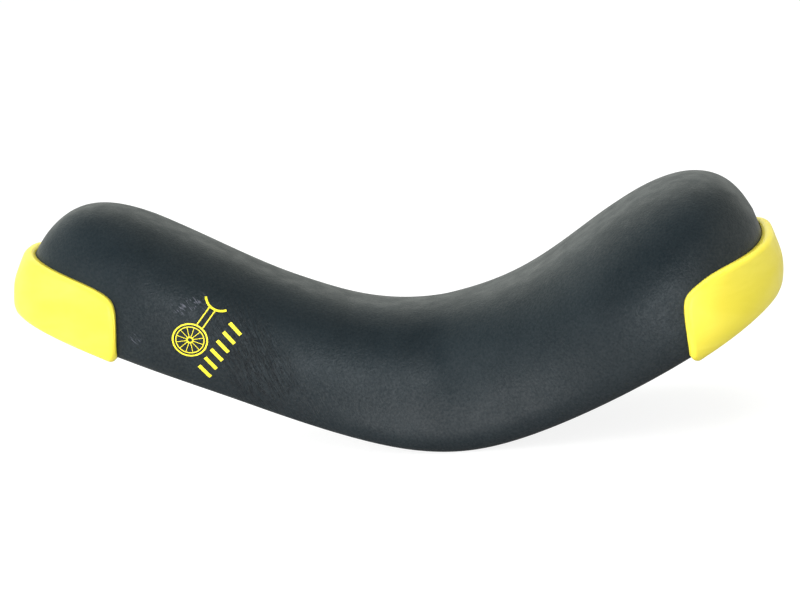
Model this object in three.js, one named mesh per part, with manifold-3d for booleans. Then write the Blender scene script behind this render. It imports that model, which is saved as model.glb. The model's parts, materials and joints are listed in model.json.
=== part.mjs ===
// A unicycle saddle: a banana-shaped padded seat on a moulded base, with a plastic bumper
// round each end and four bolts underneath for the seatpost plate.
//
// Millimetres, +Z up. The origin is the centre of the bolt pattern, on the flat face that the
// seatpost plate is clamped to. -X points to the front (the narrow end), +X to the rear, and
// -Y is the rider's left.
//
// The padded seat is one formula. A plan outline (seen from above) is filled with sections, and
// the flat result is bent onto the rim line, the curve that the lower edge follows from front
// to rear. A point is given by where it lies in plan and by its height above the rim line.

import * as THREE from "three";
import { mergeVertices } from "three/addons/utils/BufferGeometryUtils.js";
import Module from "manifold-3d";

const wasm = await Module();
wasm.setup();

// ---- Driving dimensions ----

// Rim line: straight-going ends that climb at a slope, joined by a round middle.
const RECESS_DEPTH = 20; // the lowest point of the rim is this far below the mount face
const BEND_RADIUS = 87; // of the rim line at its lowest point

// The two ends. slope is the climb of the rim line; medial is where the ridge of the pad ends,
// as a share of length; tipWidest and tipTuck replace WIDEST and TUCK at the very tip. wingEnd
// is how far from the origin the bumper's wings end, wingClimb the slant of their ends,
// wingCorner the rounding of their top corners, and tipDip how far the bumper's top edge dips
// at the tip.
const FRONT = {
  side: -1, length: 211, slope: 0.5, medial: 0.79, halfWidth: 57.5, thickness: 62.5,
  waistEdge: 96, lobe: 179, tipWidest: 14, tipTuck: 3,
  wingEnd: 158.6, wingClimb: 3.6, wingCorner: 6.5, tipDip: 2,
};
const REAR = {
  side: 1, length: 168.5, slope: 0.53, medial: 0.68, halfWidth: 87.5, thickness: 69.5,
  waistEdge: -18, lobe: 156, tipWidest: 32, tipTuck: 10.5,
  wingEnd: 117, wingClimb: 2.85, wingCorner: 5, tipDip: 5.5,
};
const WAIST = { halfWidth: 47.5, thickness: 57 };
const MIDDLE_CROWN = { rise: 9.6, spread: 48.5, power: 2.65 }; // extra padding over the bend

// Section of the pad.
const PLAN_SQUARENESS = 2.9; // exponent of the rounded ends in plan
const SHOULDER_SPREAD = 2.75; // exponents of the section above its widest level
const SHOULDER_RISE = 2.6;
const WIDEST = 13.5; // height of the widest level
const TUCK = 7; // how far the bottom edge lies in from the widest level
const TIP_START = 0.7; // share of the way out to the tips where the tips' own values begin

// Layers, from the outside in.
const COVER = 1.2; // thickness of the vinyl
const GAP = 0.5; // between neighbouring layers
const HEM = 8; // width of vinyl turned under the base
const SKIN = COVER + GAP; // offset from the outside to the foam and the base

// Moulded base: a flange that the vinyl is stapled to, round a raised, ribbed pan.
const FLANGE = { width: 8.5, top: 5 };
const PAN = { wall: 2.8, ceiling: 14.5, thickness: 3, draft: 0.5 };
const RIB = { thickness: 2.4, bottom: 4, spacing: 30, firstX: 80, rows: 3 };
const BITE = 1; // how far pieces that are joined or cut run into one another

// Mounting platform: a box raised through the pan, with its flat face in a pocket underneath
// and a well on top for the stiffener plate and the nuts.
const PLATFORM = { halfLength: 64, halfWidth: 33, floor: 4, top: 10 };
const POCKET = { halfLength: 61, halfWidth: 30, rimHalfLength: 45, rimBottom: -8 };
const WELL = { halfLength: 58.5, halfWidth: 27.5 };

// Seatpost fixing.
const BOLT_PATTERN = { x: 50, y: 22 };
const BOLT = {
  radius: 3, length: 18, headAcrossFlats: 10, headHeight: 4, clearance: 3.3, chamfer: 1,
};
const POST_PLATE_ROOM = 3.5; // bolts are hand-started, with room left for the seatpost plate
const WASHER = { radius: 6, bore: 3.3, thickness: 1.6 };
const NUT = { side: 10, height: 5, bore: 3.3, room: 1 };
const PLATE = { halfLength: 58, halfWidth: 27, thickness: 2, corner: 4 };

// Bumpers and their screws.
const BUMPER = {
  outside: 3.5, inside: 0.6, top: 29.6, lip: 20, edgeDrop: 1.2, wingTop: 3.2,
  tipWall: 1.7, tipStart: 0.86, wallRise: 12, // extra wall at the tip, and where it comes in
  wingSteps: [0, 0.8, 1.8, 3, 4.5, 6.5, 9], // distances of the close sections in a wing's end
};
const SCREW = {
  radius: 1.9, length: 15, headRadius: 4, headHeight: 2.4, point: 3, hole: 2.3, inset: 12.5,
  boss: 4.5, pilot: 2.1, angles: [0.28, 0.6], underLip: 0.1,
};
const HEAD_ROUNDING = [[0.7, 0.85], [1, 0.35]]; // pan head, as shares of its radius and height
const CROSS_RECESS = { halfLength: 2, halfWidth: 0.5, depth: 1.3 };

// Staples through the hem.
const STAPLE = { width: 9, wire: 0.8, leg: 4, inset: 4, perSide: 12, clearance: 0.4, proud: 0.2 };

// Fineness of the faceted solids.
const STATIONS = 60; // round the plan outline
const ROUND = 24; // facets of a small round
const SCREW_ROUND = 16; // facets of a screw
const BAR_STEP = 15; // length of the straight pieces of a bent bar
const CROWN_LEVELS = [1, 0.88, 0.75, 0.6, 0.45, 0.3, 0.15, 0];
const FLANK_FRACTIONS = [0.35, 0.65, 0.85, 1];

// ---- Materials ----

const finish = (color, roughness, metalness = 0) =>
  new THREE.MeshStandardMaterial({ color, roughness, metalness });
const VINYL = finish(0x262b2e, 0.5);
const FOAM = finish(0xc9c3a8, 0.95);
const BLACK_PLASTIC = finish(0x1b1c1d, 0.6);
const YELLOW_PLASTIC = finish(0xf5e32b, 0.45);
const ZINC = finish(0xb9bdc0, 0.35, 1);
const STEEL = finish(0x8d9092, 0.45, 1);

// ---- The pad's shape ----

const smooth = (t) => {
  const s = THREE.MathUtils.clamp(t, 0, 1);
  return s * s * (3 - 2 * s);
};
const endAt = (x) => (x < 0 ? FRONT : REAR);

function rimHeight(x) {
  const end = endAt(x);
  const reach = end.slope * BEND_RADIUS;
  return end.slope * reach * (Math.hypot(1, x / reach) - 1) - RECESS_DEPTH;
}

function rimSlope(x) {
  const end = endAt(x);
  const reach = end.slope * BEND_RADIUS;
  return (end.slope * (x / reach)) / Math.hypot(1, x / reach);
}

// The point at height above the rim line, square to it, over plan position x, y.
function bend(x, y, height) {
  const slope = rimSlope(x);
  const rise = height / Math.hypot(1, slope);
  return new THREE.Vector3(x - slope * rise, y, rimHeight(x) + rise);
}

// A quantity that changes from its waist value to each end's value.
function lobed(x, key) {
  const share = (end) =>
    smooth((end.side * x - end.waistEdge) / (end.lobe - end.waistEdge));
  return (
    WAIST[key] +
    (FRONT[key] - WAIST[key]) * share(FRONT) +
    (REAR[key] - WAIST[key]) * share(REAR)
  );
}

// One ray of the plan, from the ridge line (mid, 0) to the outline (x, y). Angle 0 is the
// front tip, and half a turn is the rear tip.
function station(angle) {
  const along = -Math.cos(angle);
  const end = along < 0 ? FRONT : REAR;
  const x = along * end.length;
  const width = Math.max(0, 1 - Math.abs(along) ** PLAN_SQUARENESS) ** (1 / PLAN_SQUARENESS);
  const y = -Math.sign(Math.sin(angle)) * lobed(x, "halfWidth") * width;
  const mid = THREE.MathUtils.clamp(
    x,
    -FRONT.medial * FRONT.length,
    REAR.medial * REAR.length,
  );
  const tip = smooth((Math.abs(along) - TIP_START) / (1 - TIP_START));
  return {
    x, y, mid, along, end,
    reach: Math.hypot(x - mid, y),
    widest: THREE.MathUtils.lerp(WIDEST, end.tipWidest, tip),
    tuck: THREE.MathUtils.lerp(TUCK, end.tipTuck, tip),
  };
}

// Height of the crown over the rim line at a plan position.
const thickness = (x) =>
  lobed(x, "thickness") +
  MIDDLE_CROWN.rise * Math.exp(-(Math.abs(x / MIDDLE_CROWN.spread) ** MIDDLE_CROWN.power));

// The bent point on a station's ray, inset from the outline, at a height.
function onRay(at, inset, height) {
  const share = 1 - inset / at.reach;
  return bend(at.mid + (at.x - at.mid) * share, at.y * share, height);
}

// A point of the pad's skin above the widest level, as [inset, height]. up runs from 0 at the
// widest level to 1 at the crown. offset moves the skin inwards.
function shoulder(at, up, offset) {
  const share = (1 - up ** SHOULDER_RISE) ** (1 / SHOULDER_SPREAD);
  const inset = at.reach - (at.reach - offset) * share;
  const top = thickness(at.mid + (at.x - at.mid) * share) - offset;
  return [inset, at.widest + (top - at.widest) * up];
}

// A point of the skin below that, as [inset, height], at a height down to offset.
function flank(at, height, offset) {
  const down = Math.min(1, (at.widest - height) / (at.widest - offset));
  return [at.tuck * (1 - Math.sqrt(1 - down * down)) + offset, height];
}

// A point of the skin at a height near the rim, as [inset, height].
function skin(at, height, offset) {
  if (height < at.widest) return flank(at, height, offset);
  const up = (height - at.widest) / (thickness(at.x) - offset - at.widest);
  return [shoulder(at, up, offset)[0], height];
}

const stations = Array.from({ length: STATIONS }, (_, i) =>
  station((i / STATIONS) * 2 * Math.PI),
);
// A closed ring of points round the plan, from a rule that gives inset and height on each ray.
const ring = (rule) => stations.map((at) => onRay(at, ...rule(at)));
const seam = (height) => ring((at) => [at.reach, height]); // a ring shut onto the ridge line
const edge = (at) => at.tuck + SKIN; // inset of the base's outer bottom edge

// Rings from the crown down the outside of the skin to a bottom height.
function skinRings(offset, bottom) {
  const above = CROWN_LEVELS.map((level) =>
    ring((at) => shoulder(at, Math.sin((level * Math.PI) / 2), offset)),
  );
  const below = FLANK_FRACTIONS.map((share) =>
    ring((at) => flank(at, Math.max(bottom, at.widest * (1 - share)), offset)),
  );
  return [...above, ...below];
}

// ---- Solids ----

function toSolid(geometry) {
  const bare = geometry.index ? geometry.toNonIndexed() : geometry.clone();
  for (const name of ["normal", "uv"]) bare.deleteAttribute(name);
  const merged = mergeVertices(bare, 1e-4);
  const corners = Array.from(merged.index.array);
  const triVerts = [];
  for (let i = 0; i < corners.length; i += 3) {
    const [a, b, c] = corners.slice(i, i + 3);
    if (a !== b && b !== c && c !== a) triVerts.push(a, b, c);
  }
  return new wasm.Manifold(
    new wasm.Mesh({
      numProp: 3,
      vertProperties: merged.attributes.position.array,
      triVerts: new Uint32Array(triVerts),
    }),
  );
}

function toGeometry(solid) {
  const mesh = solid.getMesh();
  const geometry = new THREE.BufferGeometry();
  geometry.setAttribute("position", new THREE.BufferAttribute(mesh.vertProperties, 3));
  geometry.setIndex(new THREE.BufferAttribute(mesh.triVerts, 1));
  return geometry;
}

const joined = (solids) => solids.reduce((all, next) => all.add(next));
const cut = (solid, tools) => solid.subtract(joined(tools));

function fromTriangles(points, faces) {
  const geometry = new THREE.BufferGeometry().setFromPoints(points);
  geometry.setIndex(faces);
  return toSolid(geometry);
}

// A solid wrapped by rings. The first and the last ring are shut onto the ridge line.
function ringSolid(rings) {
  const count = rings[0].length;
  const faces = [];
  for (let r = 0; r + 1 < rings.length; r += 1) {
    for (let i = 0; i < count; i += 1) {
      const [a, b] = [r * count + i, r * count + ((i + 1) % count)];
      faces.push(a, a + count, b, b, a + count, b + count);
    }
  }
  return fromTriangles(rings.flat(), faces);
}

// A solid swept through sections, each a closed loop of the same number of points. outline is
// the first section in its own plane, running clockwise, for the flat ends.
function sweptSolid(sections, outline) {
  const count = outline.length;
  const faces = [];
  for (let s = 0; s + 1 < sections.length; s += 1) {
    for (let i = 0; i < count; i += 1) {
      const [a, b] = [s * count + i, s * count + ((i + 1) % count)];
      faces.push(a, b, a + count, b, b + count, a + count);
    }
  }
  const last = (sections.length - 1) * count;
  for (const [a, b, c] of THREE.ShapeUtils.triangulateShape(outline, [])) {
    faces.push(a, b, c, last + a, last + c, last + b);
  }
  return fromTriangles(sections.flat(), faces);
}

function box(x0, x1, y0, y1, z0, z1) {
  const geometry = new THREE.BoxGeometry(x1 - x0, y1 - y0, z1 - z0);
  return geometry.translate((x0 + x1) / 2, (y0 + y1) / 2, (z0 + z1) / 2);
}

// A solid block centred on the Z axis.
const slab = (halfLength, halfWidth, z0, z1) =>
  toSolid(box(-halfLength, halfLength, -halfWidth, halfWidth, z0, z1));

// A cylinder along Z from height z0 to z1.
function post(radius, z0, z1, facets = ROUND) {
  const geometry = new THREE.CylinderGeometry(radius, radius, z1 - z0, facets);
  return geometry.rotateX(Math.PI / 2).translate(0, 0, (z0 + z1) / 2);
}

// A plate or bar bent onto the rim line, given in plan and height.
function bentBar(x0, x1, y0, y1, low, high) {
  const steps = Math.max(1, Math.ceil(Math.abs(x1 - x0) / BAR_STEP));
  const geometry = new THREE.BoxGeometry(x1 - x0, y1 - y0, high - low, steps, 1, 1);
  geometry.translate((x0 + x1) / 2, (y0 + y1) / 2, (low + high) / 2);
  const position = geometry.attributes.position;
  for (let i = 0; i < position.count; i += 1) {
    const point = bend(position.getX(i), position.getY(i), position.getZ(i));
    position.setXYZ(i, point.x, point.y, point.z);
  }
  return toSolid(geometry);
}

// ---- Places ----

const SIDES = { left: -1, right: 1 };
const boltPlaces = Object.entries({ front: -1, rear: 1 }).flatMap(([end, along]) =>
  Object.entries(SIDES).map(([side, across]) => ({
    name: `${end}_${side}`,
    x: along * BOLT_PATTERN.x,
    y: across * BOLT_PATTERN.y,
  })),
);

// The plan position on a station's ray, and the turn of the rim's direction there.
function seat(angle, inset) {
  const at = station(angle);
  const share = 1 - inset(at) / at.reach;
  const aside = Math.PI / STATIONS;
  const [before, after] = [station(angle - aside), station(angle + aside)];
  return {
    x: at.mid + (at.x - at.mid) * share,
    y: at.y * share,
    turn: Math.atan2(after.y - before.y, after.x - before.x),
  };
}

// A frame that stands square to the rim line at a place.
function standing(place) {
  const group = new THREE.Group();
  group.position.copy(bend(place.x, place.y, 0));
  group.rotation.set(0, -Math.atan(rimSlope(place.x)), 0);
  group.updateMatrix();
  return group;
}

const screwInset = (at) => edge(at) + SCREW.inset;
const screwPlaces = Object.entries({ front: 0, rear: Math.PI }).flatMap(([end, tip]) =>
  Object.entries(SIDES).flatMap(([side, across]) =>
    SCREW.angles.map((angle, i) => {
      const turn = (end === "front" ? -across : across) * angle;
      return { name: `${end}_bumper_screw_${side}_${i + 1}`, end, ...seat(tip + turn, screwInset) };
    }),
  ),
);

const stapleInset = (at) => at.tuck + STAPLE.inset;
const staplePlaces = Object.entries(SIDES).flatMap(([side, across]) =>
  Array.from({ length: STAPLE.perSide }, (_, i) => {
    const angle = ((i + 0.5) / STAPLE.perSide) * Math.PI;
    const number = String(i + 1).padStart(2, "0");
    return { name: `cover_staple_${side}_${number}`, ...seat(-across * angle, stapleInset) };
  }),
);

const standingTool = (place, geometry, turn = 0) =>
  toSolid(geometry.rotateZ(turn).applyMatrix4(standing(place).matrix));

function stapleSlots() {
  const half = STAPLE.width / 2 + STAPLE.clearance;
  const side = STAPLE.wire / 2 + STAPLE.clearance;
  return staplePlaces.map((place) =>
    standingTool(place, box(-half, half, -side, side, -2 * BITE, STAPLE.leg + GAP), place.turn),
  );
}

// ---- Soft parts ----

function seatCover() {
  const outside = skinRings(0, 0);
  const inside = skinRings(COVER, COVER).reverse();
  const hem = [0, COVER].map((height) => ring((at) => [at.tuck + HEM, height]));
  return cut(ringSolid([...outside, ...hem, ...inside]), stapleSlots());
}

function foamPad() {
  const above = GAP + 0.1; // clearance over the base, whose faces are bent a little differently
  const underside = [
    ring((at) => [edge(at) + FLANGE.width - PAN.wall - above, FLANGE.top + GAP]),
    ring((at) => [edge(at) + FLANGE.width - PAN.wall, PAN.ceiling + PAN.thickness + above]),
    seam(PAN.ceiling + PAN.thickness + above),
  ];
  const pad = ringSolid([...skinRings(SKIN, FLANGE.top + GAP), ...underside]);
  const clear = NUT.side / 2 + NUT.room;
  const room = [
    slab(PLATFORM.halfLength + GAP, PLATFORM.halfWidth + GAP, -RECESS_DEPTH, PLATFORM.top + GAP),
    ...boltPlaces.map(({ x, y }) =>
      toSolid(box(x - clear, x + clear, y - clear, y + clear, 0, BOLT.length)),
    ),
  ];
  return cut(pad, room);
}

// ---- Base ----

function panRibs() {
  const top = PAN.ceiling + BITE;
  const half = RIB.thickness / 2;
  const inPan = ringSolid([
    seam(top),
    ring((at) => [edge(at) + FLANGE.width - BITE, top]),
    ring((at) => [edge(at) + FLANGE.width - BITE, RIB.bottom]),
    seam(RIB.bottom),
  ]);
  const bar = (x0, x1, y0, y1) => bentBar(x0, x1, y0, y1, RIB.bottom - BITE, top);
  const ribs = [FRONT, REAR].flatMap((end) => {
    const tip = end.side * end.length;
    const start = end.side * (PLATFORM.halfLength - BITE);
    const [low, high] = [Math.min(start, tip), Math.max(start, tip)];
    const lengthwise = [-1, 0, 1].map((i) => {
      const y = (i * end.halfWidth) / RIB.rows;
      return bar(low, high, y - half, y + half);
    });
    const across = [];
    for (let x = RIB.firstX; x < end.length - RIB.spacing / 2; x += RIB.spacing) {
      const centre = end.side * x;
      across.push(bar(centre - half, centre + half, -REAR.halfWidth, REAR.halfWidth));
    }
    return [...lengthwise, ...across];
  });
  return joined(ribs).intersect(inPan);
}

function seatBase() {
  const top = PAN.ceiling + PAN.thickness;
  const pan = ringSolid([
    seam(top),
    ring((at) => [edge(at) + FLANGE.width - PAN.wall + PAN.draft, top]),
    ring((at) => [edge(at) + FLANGE.width - PAN.wall, FLANGE.top]),
    ring((at) => [edge(at), FLANGE.top]),
    ring((at) => [edge(at), SKIN]),
    ring((at) => [edge(at) + FLANGE.width, SKIN]),
    ring((at) => [edge(at) + FLANGE.width + PAN.draft, PAN.ceiling]),
    seam(PAN.ceiling),
  ]);
  const { floor } = PLATFORM;
  const platform = slab(PLATFORM.halfLength, PLATFORM.halfWidth, 0, PLATFORM.top);
  const pocketRim = slab(POCKET.rimHalfLength, PLATFORM.halfWidth, POCKET.rimBottom, floor);
  const pocket = slab(POCKET.halfLength, POCKET.halfWidth, -RECESS_DEPTH, 0);
  const bosses = screwPlaces.map((place) =>
    standingTool(place, post(SCREW.boss, 0, PAN.ceiling + BITE)),
  );
  const well = slab(WELL.halfLength, WELL.halfWidth, floor, 3 * top);
  const boltHoles = boltPlaces.map(({ x, y }) =>
    toSolid(post(BOLT.clearance, -BITE, floor + BITE).translate(x, y, 0)),
  );
  const pilotTop = SCREW.length - BUMPER.outside + BITE;
  const pilots = screwPlaces.map((place) =>
    standingTool(place, post(SCREW.pilot, -BITE, pilotTop, SCREW_ROUND)),
  );
  const body = joined([pan, panRibs(), platform, pocketRim, ...bosses]);
  return cut(body, [pocket, well, ...boltHoles, ...pilots, ...stapleSlots()]);
}

// ---- Bumpers ----

// 0 along the flanks and 1 at the tip of the bumper.
const bumperTip = (at) =>
  smooth((Math.abs(at.along) - BUMPER.tipStart) / (1 - BUMPER.tipStart));

// Height of the bumper's top edge at a station: the slanted end of a wing, a rounded corner,
// then level, with a dip at the tip.
function bumperTop(at) {
  const slant = BUMPER.wingTop + at.end.wingClimb * (Math.abs(at.x) - at.end.wingEnd);
  const middle = (slant + BUMPER.top) / 2;
  const rounded = middle - Math.hypot(slant - middle, at.end.wingCorner);
  return rounded - at.end.tipDip * bumperTip(at);
}

// The bumper's section as [inset, height] pairs: a lip under the base, an outer face that
// follows the pad, a rounded top edge and an inner face against the cover.
function bumperSection(at) {
  const { outside, inside, lip } = BUMPER;
  const top = bumperTop(at);
  const wall = (height) => BUMPER.tipWall * bumperTip(at) * smooth(height / BUMPER.wallRise);
  const outer = (height) => skin(at, height, -outside - wall(height));
  const inner = (height) => skin(at, height, -inside);
  const crown = (outer(top)[0] + inner(top)[0]) / 2;
  const edgeBottom = top - BUMPER.edgeDrop;
  const levels = [0, ...FLANK_FRACTIONS].map((share) =>
    Math.min(edgeBottom, at.widest * (1 - share)),
  );
  return [
    [edge(at) + lip, -outside],
    ...[edgeBottom, ...levels, -outside].reverse().map(outer),
    [crown, top],
    ...[edgeBottom, ...levels, -inside].map(inner),
    [edge(at) + lip, -inside],
  ];
}

function bumper(end) {
  const tip = end.side < 0 ? 0 : Math.PI;
  const wing = BUMPER.wingSteps.map((d) => Math.acos((end.wingEnd + d) / end.length));
  const step = (2 * Math.PI) / STATIONS;
  const within = Math.floor(wing.at(-1) / step);
  const between = Array.from({ length: 2 * within + 1 }, (_, i) => (within - i) * step);
  const otherWing = wing.map((angle) => -angle).reverse();
  const rays = [...wing, ...between, ...otherWing].map((angle) => station(tip + angle));
  const flat = bumperSection(rays[0]).map(([inset, height]) => new THREE.Vector2(inset, height));
  const sections = rays.map((at) =>
    bumperSection(at).map(([inset, height]) => onRay(at, inset, height)),
  );
  const holes = screwPlaces
    .filter((place) => place.end === (end.side < 0 ? "front" : "rear"))
    .map((place) => standingTool(place, post(SCREW.hole, -2 * BUMPER.outside, BITE, SCREW_ROUND)));
  return cut(sweptSolid(sections, flat), holes);
}

// ---- Hardware ----

function roundedPlate() {
  const { halfLength: a, halfWidth: b, corner: r, thickness } = PLATE;
  const shape = new THREE.Shape();
  shape.absarc(a - r, b - r, r, 0, Math.PI / 2);
  shape.absarc(r - a, b - r, r, Math.PI / 2, Math.PI);
  shape.absarc(r - a, r - b, r, Math.PI, 1.5 * Math.PI);
  shape.absarc(a - r, r - b, r, 1.5 * Math.PI, 2 * Math.PI);
  const plate = toSolid(
    new THREE.ExtrudeGeometry(shape, { depth: thickness, bevelEnabled: false, curveSegments: ROUND / 4 }),
  );
  const holes = boltPlaces.map(({ x, y }) =>
    toSolid(post(BOLT.clearance, -BITE, thickness + BITE).translate(x, y, 0)),
  );
  return toGeometry(cut(plate, holes));
}

function squareNut() {
  const { side, height, bore } = NUT;
  const body = toSolid(box(-side / 2, side / 2, -side / 2, side / 2, 0, height));
  return toGeometry(cut(body, [toSolid(post(bore, -BITE, height + BITE))]));
}

function washer() {
  const { radius, bore, thickness } = WASHER;
  const profile = [
    [bore, 0], [radius, 0], [radius, thickness], [bore, thickness], [bore, 0],
  ].map(([r, z]) => new THREE.Vector2(r, z));
  return new THREE.LatheGeometry(profile, ROUND).rotateX(Math.PI / 2);
}

// Head below the seat, shank up: the underside of the head is at height 0.
function hexBolt() {
  const { radius, length, headAcrossFlats, headHeight } = BOLT;
  const head = toSolid(post(headAcrossFlats / Math.sqrt(3), -headHeight, 0, 6));
  const { chamfer } = BOLT;
  const profile = [
    [0, -BITE], [radius, -BITE], [radius, length - chamfer], [radius - chamfer, length], [0, length],
  ].map(([r, z]) => new THREE.Vector2(r, z));
  const shank = toSolid(new THREE.LatheGeometry(profile, ROUND).rotateX(Math.PI / 2));
  return toGeometry(head.add(shank));
}

// Pan head with a cross recess, pointed end up: the underside of the head is at height 0.
function panScrew() {
  const { radius, length, headRadius, headHeight, point } = SCREW;
  const profile = [
    [0, -headHeight], ...HEAD_ROUNDING.map(([r, z]) => [headRadius * r, -headHeight * z]),
    [headRadius, 0], [radius, 0], [radius, length - point], [0, length],
  ].map(([r, z]) => new THREE.Vector2(r, z));
  const body = toSolid(new THREE.LatheGeometry(profile, SCREW_ROUND).rotateX(Math.PI / 2));
  const { halfLength, halfWidth, depth } = CROSS_RECESS;
  const slot = (a, b) => toSolid(box(-a, a, -b, b, -headHeight - BITE, depth - headHeight));
  return toGeometry(cut(body, [slot(halfLength, halfWidth), slot(halfWidth, halfLength)]));
}

// A wire staple, its crown sunk in the hem and its legs up through hem and flange.
function staple() {
  const { width, wire, leg } = STAPLE;
  const half = width / 2;
  const crown = wire - STAPLE.proud;
  const corners = [
    [-half, crown - wire], [half, crown - wire], [half, leg], [half - wire, leg],
    [half - wire, crown], [wire - half, crown], [wire - half, leg], [-half, leg],
  ].map(([x, y]) => new THREE.Vector2(x, y));
  const shape = new THREE.Shape(corners);
  const geometry = new THREE.ExtrudeGeometry(shape, { depth: wire, bevelEnabled: false });
  return geometry.translate(0, 0, -wire / 2).rotateX(Math.PI / 2);
}

// ---- Assembly ----

const saddle = new THREE.Group();

function place(parent, name, geometry, material, x = 0, y = 0, z = 0) {
  const mesh = new THREE.Mesh(geometry, material);
  mesh.name = name;
  mesh.position.set(x, y, z);
  parent.add(mesh);
  return mesh;
}

place(saddle, "seat_cover", toGeometry(seatCover()), VINYL);
place(saddle, "foam_pad", toGeometry(foamPad()), FOAM);
place(saddle, "seat_base", toGeometry(seatBase()), BLACK_PLASTIC);
place(saddle, "front_bumper", toGeometry(bumper(FRONT)), YELLOW_PLASTIC);
place(saddle, "rear_bumper", toGeometry(bumper(REAR)), YELLOW_PLASTIC);
place(saddle, "stiffener_plate", roundedPlate(), STEEL, 0, 0, PLATFORM.floor);

for (const { name, x, y } of boltPlaces) {
  const nutFloor = PLATFORM.floor + PLATE.thickness;
  place(saddle, `captive_nut_${name}`, squareNut(), ZINC, x, y, nutFloor);
  const washerFloor = -POST_PLATE_ROOM - WASHER.thickness;
  place(saddle, `mount_washer_${name}`, washer(), ZINC, x, y, washerFloor);
  place(saddle, `mount_bolt_${name}`, hexBolt(), ZINC, x, y, washerFloor);
}

for (const spot of screwPlaces) {
  const frame = standing(spot);
  saddle.add(frame);
  place(frame, spot.name, panScrew(), ZINC, 0, 0, -BUMPER.outside - SCREW.underLip);
}

for (const spot of staplePlaces) {
  const frame = standing(spot);
  saddle.add(frame);
  place(frame, spot.name, staple(), STEEL).rotation.z = spot.turn;
}

export default saddle;
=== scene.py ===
"""Looks of the unicycle saddle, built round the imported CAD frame.

Lengths are in millimetres and are turned into metres where a mesh is made. The pad is one formula:
a plan outline filled with sections, bent onto the rim line. Angle 0 of the plan is the front tip
(-X) and half a turn is the rear tip. A height is measured from the rim line, square to it.
"""

import json
import math

import bmesh
import bpy
import numpy as np
from mathutils import Matrix, Vector
from mathutils.bvhtree import BVHTree
from mathutils.kdtree import KDTree


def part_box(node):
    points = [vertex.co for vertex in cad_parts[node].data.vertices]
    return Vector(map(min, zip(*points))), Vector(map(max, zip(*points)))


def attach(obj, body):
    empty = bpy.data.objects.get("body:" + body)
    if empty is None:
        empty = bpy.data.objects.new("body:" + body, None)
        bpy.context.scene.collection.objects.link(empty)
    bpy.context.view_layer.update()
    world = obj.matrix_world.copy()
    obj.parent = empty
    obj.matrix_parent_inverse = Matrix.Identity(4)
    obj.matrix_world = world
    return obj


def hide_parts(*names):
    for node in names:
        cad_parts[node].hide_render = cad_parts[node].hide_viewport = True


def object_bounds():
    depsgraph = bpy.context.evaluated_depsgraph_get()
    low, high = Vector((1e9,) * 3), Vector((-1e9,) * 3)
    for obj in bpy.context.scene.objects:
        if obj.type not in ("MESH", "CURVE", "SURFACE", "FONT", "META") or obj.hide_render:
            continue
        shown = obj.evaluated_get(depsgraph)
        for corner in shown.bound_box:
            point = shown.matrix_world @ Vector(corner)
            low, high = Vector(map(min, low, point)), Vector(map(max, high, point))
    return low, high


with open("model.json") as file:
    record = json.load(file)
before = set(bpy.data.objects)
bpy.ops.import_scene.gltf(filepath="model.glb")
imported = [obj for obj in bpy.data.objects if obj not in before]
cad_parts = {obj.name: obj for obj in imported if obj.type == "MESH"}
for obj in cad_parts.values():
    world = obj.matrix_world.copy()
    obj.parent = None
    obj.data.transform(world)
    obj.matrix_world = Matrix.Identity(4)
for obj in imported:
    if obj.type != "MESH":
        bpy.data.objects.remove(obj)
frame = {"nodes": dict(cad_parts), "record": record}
cad_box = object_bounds()
MM = 0.001
rng = np.random.default_rng(seed=7)

# ---- Driving dimensions ----

RECESS_DEPTH = 20      # from the rim line's lowest point up to the seatpost's face, the origin
BEND_RADIUS = 87       # of the rim line
# The two ends. slope is how steeply the rim line climbs, and medial is the share of the length at
# which the ridge line stops. From waist_edge to lobe the waist's size changes over to the end's.
# tip_ values are the section's and the bumper's at the tip, and wing_ values the bumper's wing ends.
FRONT = dict(side=-1, length=211, slope=0.5, medial=0.79, half_width=57.5, thickness=62.5,
             waist_edge=96, lobe=179, tip_widest=14, tip_tuck=3,
             wing_end=158.6, wing_climb=3.6, wing_corner=6.5, tip_dip=2.0, tip_lean=0.35)
REAR = dict(side=1, length=168.5, slope=0.53, medial=0.68, half_width=87.5, thickness=69.5,
            waist_edge=-18, lobe=156, tip_widest=32, tip_tuck=9.3,
            wing_end=117, wing_climb=2.85, wing_corner=5, tip_dip=5.5, tip_lean=0.5)
WAIST = dict(half_width=47.5, thickness=57)
# Rises of the crown over the bend and over the rear, and how the crown line is evened out.
MIDDLE_CROWN = dict(rise=9.6, spread=48.5, power=2.65)
HAUNCH = dict(x=114, spread=22, rise=0.8)
EVENING = dict(sigma=10, zone=50, zone_power=4, step=0.5, reach=40, halvings=40)
PLAN_SQUARENESS = 2.9  # powers of the rounded outlines: the plan, and the section across and up
SHOULDER_SPREAD = 2.75
SHOULDER_RISE = 2.6
TIP_FROM = 0.7         # share of an end's length from which the tip's own section takes over
TIP_FULLNESS = 0.05    # added share of those powers at the tips
TIP_FOOT = 6           # power of the rounded foot of the tip's face
LEAN_MIX = 3           # how soon that face takes over from the flank's quarter round
WIDEST = 13.5          # height of the widest level
TUCK = 7               # how far the flank pulls in below it

COVER = 1.2            # thickness of the vinyl
SKIN = 1.7             # from the outside of the vinyl to the foam and the base
HEM = 8                # vinyl turned under the base
PAN_TOP = 17.5         # height of the base's pan under the foam
FLANGE = dict(width=8.5, top=5.5)
PLATFORM = dict(half_length=64, top=10)

BUMPER = dict(outside=3.5, inside=0.25, top=29.6, lip=20, wing_top=3.2, tip_wall=1.7)
BOLT = dict(radius=3, length=18, across_flats=10, head=4, pitch=1, thread_depth=0.5)


# ---- The pad's shape ----

def smooth(t):
    s = np.clip(t, 0, 1)
    return s * s * (3 - 2 * s)


def mix(a, b, share):
    return a + (b - a) * share


def by_end(x, key):
    return np.where(x < 0, FRONT[key], REAR[key])


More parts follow.
